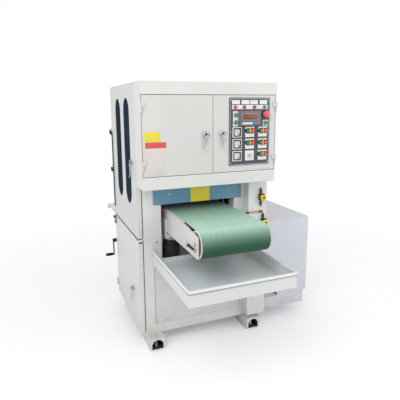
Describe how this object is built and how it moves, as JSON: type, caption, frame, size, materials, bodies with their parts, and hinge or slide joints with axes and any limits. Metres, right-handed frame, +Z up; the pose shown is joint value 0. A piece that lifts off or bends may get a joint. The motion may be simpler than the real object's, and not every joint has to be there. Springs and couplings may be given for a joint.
{
  "type": "wide belt sander",
  "caption": "Floor-standing wide belt sander: sheet-steel cabinet over a lifting feed conveyor, with side access doors, control panel, dust tray and drive housing.",
  "frame": {"origin": "middle of the machine's footprint box, on the floor", "axes": "+Z up, the feed side faces -Y, the drive housing is on +X"},
  "size_m": [1.379, 1.758, 1.7],
  "materials": {
    "cabinet_paint": "satin powder coat, warm pale grey",
    "housing_paint": "satin powder coat, cool grey",
    "guard_paint": "satin blue enamel",
    "panel_paint": "matt slate enamel",
    "motor_paint": "satin dark enamel",
    "white_plate": "satin white",
    "black_plastic": "moulded black",
    "red_plastic": "glossy red",
    "green_plastic": "glossy green",
    "yellow_plastic": "glossy yellow",
    "tinted_screen": "dark tinted sheet",
    "bright_steel": "machined and lightly brushed",
    "drum_steel": "ground steel drum with a dark cover",
    "dark_steel": "blackened steel",
    "belt_green": "ribbed green feed belt",
    "black_rubber": "matt black rubber",
    "abrasive_cloth": "abrasive cloth"
  },
  "bodies": {
    "frame": {"base_frame": "cabinet_paint", "base_feet": "cabinet_paint", "levelling_bolts": "bright_steel", "deck_plate": "cabinet_paint", "upper_cabinet": "cabinet_paint", "lower_front_panel": "cabinet_paint", "guard_bar": "guard_paint", "switch_column": "cabinet_paint", "drive_housing": "housing_paint", "rear_shelf": "cabinet_paint", "hinge_pins": "dark_steel", "column_fittings": "black_plastic", "head_frame": "bright_steel", "head_motors": "motor_paint", "drive_belts": "black_rubber", "abrasive_belts": "abrasive_cloth", "jack_sleeves": "black_rubber"},
    "left_door": {"front_left_door": "cabinet_paint"},
    "right_door": {"front_right_door": "cabinet_paint", "control_panel": "panel_paint", "label_plates": "white_plate", "panel_devices": "black_plastic"},
    "upper_door": {"upper_side_door": "cabinet_paint", "window_screens": "tinted_screen"},
    "lower_door": {"lower_side_door": "cabinet_paint"},
    "left_handle": {"front_left_handle": "bright_steel"},
    "right_handle": {"front_right_handle": "bright_steel"},
    "upper_handle": {"upper_side_handle": "bright_steel"},
    "lower_handle": {"lower_side_handle": "bright_steel"},
    "stop_head": {"emergency_stop": "red_plastic"},
    "speed_dial": {"speed_knob": "black_plastic"},
    "crank": {"hand_crank": "dark_steel"},
    "tray": {"dust_tray": "cabinet_paint"},
    "table": {"conveyor_bed": "cabinet_paint", "feed_belt": "belt_green", "feed_motor": "motor_paint", "lift_screws": "dark_steel"},
    "nose_roller": {"front_roller": "bright_steel"},
    "drive_roller": {"rear_roller": "bright_steel"},
    "jog_button_1": {"jog_button_1": "green_plastic"},
    "jog_button_2": {"jog_button_2": "green_plastic"},
    "jog_button_3": {"jog_button_3": "green_plastic"},
    "start_button_1": {"start_button_1": "green_plastic"},
    "start_button_2": {"start_button_2": "green_plastic"},
    "start_button_3": {"start_button_3": "green_plastic"},
    "start_button_4": {"start_button_4": "green_plastic"},
    "start_button_5": {"start_button_5": "green_plastic"},
    "stop_button_1": {"stop_button_1": "red_plastic"},
    "stop_button_2": {"stop_button_2": "red_plastic"},
    "stop_button_3": {"stop_button_3": "red_plastic"},
    "stop_button_4": {"stop_button_4": "red_plastic"},
    "stop_button_5": {"stop_button_5": "red_plastic"},
    "valve_knob_1": {"valve_knob_1": "yellow_plastic"},
    "valve_knob_2": {"valve_knob_2": "yellow_plastic"},
    "drum_1": {"drum_1": "drum_steel"},
    "idler_1": {"idler_1": "bright_steel"},
    "drum_2": {"drum_2": "drum_steel"},
    "idler_2": {"idler_2": "bright_steel"},
    "drum_3": {"drum_3": "drum_steel"},
    "idler_3": {"idler_3": "bright_steel"}
  },
  "joints": [
    {"name": "left_door_hinge", "type": "hinge", "parent": "frame", "child": "left_door", "pos_m": [-0.6025, -0.3695, 1.389], "axis": [0, 0, 1], "range_deg": [-110, 0]},
    {"name": "right_door_hinge", "type": "hinge", "parent": "frame", "child": "right_door", "pos_m": [0.2795, -0.3695, 1.389], "axis": [0, 0, 1], "range_deg": [0, 110]},
    {"name": "upper_door_hinge", "type": "hinge", "parent": "frame", "child": "upper_door", "pos_m": [-0.612, 0.5275, 1.216], "axis": [0, 0, 1], "range_deg": [-100, 0]},
    {"name": "lower_door_hinge", "type": "hinge", "parent": "frame", "child": "lower_door", "pos_m": [-0.612, 0.5275, 0.412], "axis": [0, 0, 1], "range_deg": [-90, 0]},
    {"name": "left_handle_turn", "type": "hinge", "parent": "left_door", "child": "left_handle", "pos_m": [-0.21084, -0.363, 1.3937], "axis": [0, 1, 0], "range_deg": [0, 90]},
    {"name": "right_handle_turn", "type": "hinge", "parent": "right_door", "child": "right_handle", "pos_m": [-0.09884, -0.363, 1.3937], "axis": [0, 1, 0], "range_deg": [0, 90]},
    {"name": "upper_handle_turn", "type": "hinge", "parent": "upper_door", "child": "upper_handle", "pos_m": [-0.6055, -0.118, 1.21886], "axis": [1, 0, 0], "range_deg": [0, 90]},
    {"name": "lower_handle_turn", "type": "hinge", "parent": "lower_door", "child": "lower_handle", "pos_m": [-0.6055, -0.026, 0.34199], "axis": [1, 0, 0], "range_deg": [0, 90]},
    {"name": "stop_push", "type": "slide", "parent": "right_door", "child": "stop_head", "axis": [0, 1, 0], "range_m": [0, 0.003], "stiffness_N_per_m": 900},
    {"name": "speed_turn", "type": "hinge", "parent": "right_door", "child": "speed_dial", "pos_m": [0.09116, -0.363, 1.2511], "axis": [0, 1, 0], "range_deg": [-150, 150]},
    {"name": "jog_push_1", "type": "slide", "parent": "right_door", "child": "jog_button_1", "axis": [0, 1, 0], "range_m": [0, 0.003], "stiffness_N_per_m": 300},
    {"name": "jog_push_2", "type": "slide", "parent": "right_door", "child": "jog_button_2", "axis": [0, 1, 0], "range_m": [0, 0.003], "stiffness_N_per_m": 300},
    {"name": "jog_push_3", "type": "slide", "parent": "right_door", "child": "jog_button_3", "axis": [0, 1, 0], "range_m": [0, 0.003], "stiffness_N_per_m": 300},
    {"name": "start_push_1", "type": "slide", "parent": "right_door", "child": "start_button_1", "axis": [0, 1, 0], "range_m": [0, 0.003], "stiffness_N_per_m": 300},
    {"name": "start_push_2", "type": "slide", "parent": "right_door", "child": "start_button_2", "axis": [0, 1, 0], "range_m": [0, 0.003], "stiffness_N_per_m": 300},
    {"name": "start_push_3", "type": "slide", "parent": "right_door", "child": "start_button_3", "axis": [0, 1, 0], "range_m": [0, 0.003], "stiffness_N_per_m": 300},
    {"name": "start_push_4", "type": "slide", "parent": "right_door", "child": "start_button_4", "axis": [0, 1, 0], "range_m": [0, 0.003], "stiffness_N_per_m": 300},
    {"name": "start_push_5", "type": "slide", "parent": "right_door", "child": "start_button_5", "axis": [0, 1, 0], "range_m": [0, 0.003], "stiffness_N_per_m": 300},
    {"name": "stop_push_1", "type": "slide", "parent": "right_door", "child": "stop_button_1", "axis": [0, 1, 0], "range_m": [0, 0.003], "stiffness_N_per_m": 300},
    {"name": "stop_push_2", "type": "slide", "parent": "right_door", "child": "stop_button_2", "axis": [0, 1, 0], "range_m": [0, 0.003], "stiffness_N_per_m": 300},
    {"name": "stop_push_3", "type": "slide", "parent": "right_door", "child": "stop_button_3", "axis": [0, 1, 0], "range_m": [0, 0.003], "stiffness_N_per_m": 300},
    {"name": "stop_push_4", "type": "slide", "parent": "right_door", "child": "stop_button_4", "axis": [0, 1, 0], "range_m": [0, 0.003], "stiffness_N_per_m": 300},
    {"name": "stop_push_5", "type": "slide", "parent": "right_door", "child": "stop_button_5", "axis": [0, 1, 0], "range_m": [0, 0.003], "stiffness_N_per_m": 300},
    {"name": "valve_turn_1", "type": "hinge", "parent": "frame", "child": "valve_knob_1", "pos_m": [0.23402, -0.278, 0.95352], "axis": [0, 1, 0], "range_deg": [0, 90]},
    {"name": "valve_turn_2", "type": "hinge", "parent": "frame", "child": "valve_knob_2", "pos_m": [0.25348, -0.278, 0.7783], "axis": [0, 1, 0], "range_deg": [0, 90]},
    {"name": "tray_slide", "type": "slide", "parent": "frame", "child": "tray", "axis": [0, -1, 0], "range_m": [0, 0.25]},
    {"name": "table_lift", "type": "slide", "parent": "frame", "child": "table", "axis": [0, 0, 1], "range_m": [-0.05, 0.03]},
    {"name": "crank_turn", "type": "hinge", "parent": "frame", "child": "crank", "pos_m": [-0.6055, 0.572, 0.5], "axis": [1, 0, 0], "range_deg": [-720, 432]},
    {"name": "drive_roller_turn", "type": "hinge", "parent": "table", "child": "drive_roller", "pos_m": [-0.1955, 0.641, 0.8277], "axis": [1, 0, 0], "continuous": true},
    {"name": "nose_roller_turn", "type": "hinge", "parent": "table", "child": "nose_roller", "pos_m": [-0.1955, -0.694, 0.8277], "axis": [1, 0, 0], "continuous": true},
    {"name": "drum_turn_1", "type": "hinge", "parent": "frame", "child": "drum_1", "pos_m": [-0.1955, -0.038, 1.0423], "axis": [1, 0, 0], "continuous": true},
    {"name": "idler_turn_1", "type": "hinge", "parent": "frame", "child": "idler_1", "pos_m": [-0.1955, -0.038, 1.56], "axis": [1, 0, 0], "continuous": true},
    {"name": "drum_turn_2", "type": "hinge", "parent": "frame", "child": "drum_2", "pos_m": [-0.1955, 0.167, 1.0423], "axis": [1, 0, 0], "continuous": true},
    {"name": "idler_turn_2", "type": "hinge", "parent": "frame", "child": "idler_2", "pos_m": [-0.1955, 0.167, 1.56], "axis": [1, 0, 0], "continuous": true},
    {"name": "drum_turn_3", "type": "hinge", "parent": "frame", "child": "drum_3", "pos_m": [-0.1955, 0.323, 1.0023], "axis": [1, 0, 0], "continuous": true},
    {"name": "idler_turn_3", "type": "hinge", "parent": "frame", "child": "idler_3", "pos_m": [-0.1955, 0.382, 1.56], "axis": [1, 0, 0], "continuous": true}
  ],
  "couplings": [
    {"joint": "crank_turn", "follows": "table_lift", "rad_per_m": 251.32},
    {"joint": "nose_roller_turn", "follows": "drive_roller_turn", "ratio": 1},
    {"joint": "idler_turn_1", "follows": "drum_turn_1", "ratio": 1},
    {"joint": "idler_turn_2", "follows": "drum_turn_2", "ratio": 1},
    {"joint": "idler_turn_3", "follows": "drum_turn_3", "ratio": 1}
  ]
}
